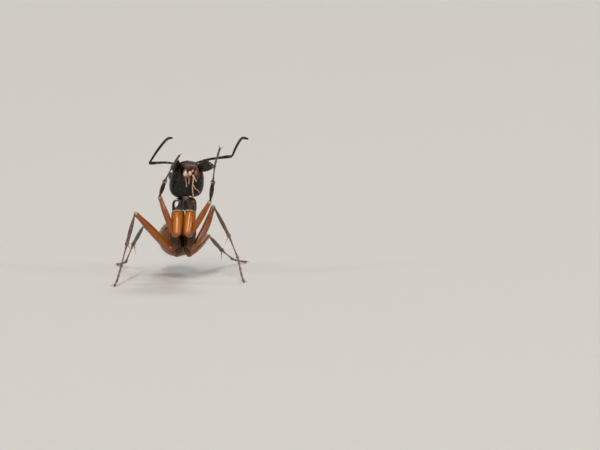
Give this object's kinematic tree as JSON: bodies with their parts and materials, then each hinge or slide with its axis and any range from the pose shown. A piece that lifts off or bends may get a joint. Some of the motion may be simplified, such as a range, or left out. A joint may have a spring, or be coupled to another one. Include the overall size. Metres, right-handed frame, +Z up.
{
  "type": "carpenter ant",
  "caption": "Life-size carpenter ant worker, a still museum-type model: reared up on its middle and hind legs, forelegs raised, jaws open, antennae spread.",
  "frame": {"origin": "on the floor, below the middle of the whole ant's bounding box", "axes": "+Z up, -Y is the way the ant faces, +X is its own left"},
  "size_m": [0.0082, 0.0132, 0.0086],
  "materials": {
    "dark_shell": "brown-black, polished, finely netted",
    "jaws": "black, polished, pitted",
    "antennae": "black-brown, satin, with short hairs",
    "eyes": "black, many small lenses",
    "mouthparts": "red-brown, semi-gloss",
    "palps": "pale straw, thin and dull",
    "rusty_shell": "rust red-brown, satin",
    "orange_shell": "orange-brown, clear and glossy",
    "gaster_shell": "dark brown to black, satin, with golden hairs",
    "brown_shell": "dark purplish brown, satin, with short hairs"
  },
  "bodies": {
    "root": {"head": "dark_shell", "eye_right": "eyes", "mandible_right": "jaws", "eye_left": "eyes", "mandible_left": "jaws", "mouthparts": "mouthparts", "palp_right": "palps", "palp_left": "palps", "neck": "dark_shell", "scape_right": "antennae", "flagellum_right": "antennae", "scape_left": "antennae", "flagellum_left": "antennae", "pronotum": "dark_shell", "mesothorax": "rusty_shell", "propodeum": "rusty_shell", "propleurae": "dark_shell", "petiole": "rusty_shell", "gaster_1": "orange_shell", "gaster_2": "gaster_shell", "gaster_3": "gaster_shell", "gaster_4": "gaster_shell", "gaster_5": "gaster_shell", "coxa_fore_right": "orange_shell", "femur_fore_right": "orange_shell", "tibia_fore_right": "brown_shell", "basitarsus_fore_right": "brown_shell", "tarsus_fore_right": "brown_shell", "coxa_middle_right": "orange_shell", "femur_middle_right": "orange_shell", "tibia_middle_right": "brown_shell", "basitarsus_middle_right": "brown_shell", "tarsus_middle_right": "brown_shell", "coxa_hind_right": "orange_shell", "femur_hind_right": "orange_shell", "tibia_hind_right": "brown_shell", "basitarsus_hind_right": "brown_shell", "tarsus_hind_right": "brown_shell", "coxa_fore_left": "orange_shell", "femur_fore_left": "orange_shell", "tibia_fore_left": "brown_shell", "basitarsus_fore_left": "brown_shell", "tarsus_fore_left": "brown_shell", "coxa_middle_left": "orange_shell", "femur_middle_left": "orange_shell", "tibia_middle_left": "brown_shell", "basitarsus_middle_left": "brown_shell", "tarsus_middle_left": "brown_shell", "coxa_hind_left": "orange_shell", "femur_hind_left": "orange_shell", "tibia_hind_left": "brown_shell", "basitarsus_hind_left": "brown_shell", "tarsus_hind_left": "brown_shell"}
  },
  "joints": []
}
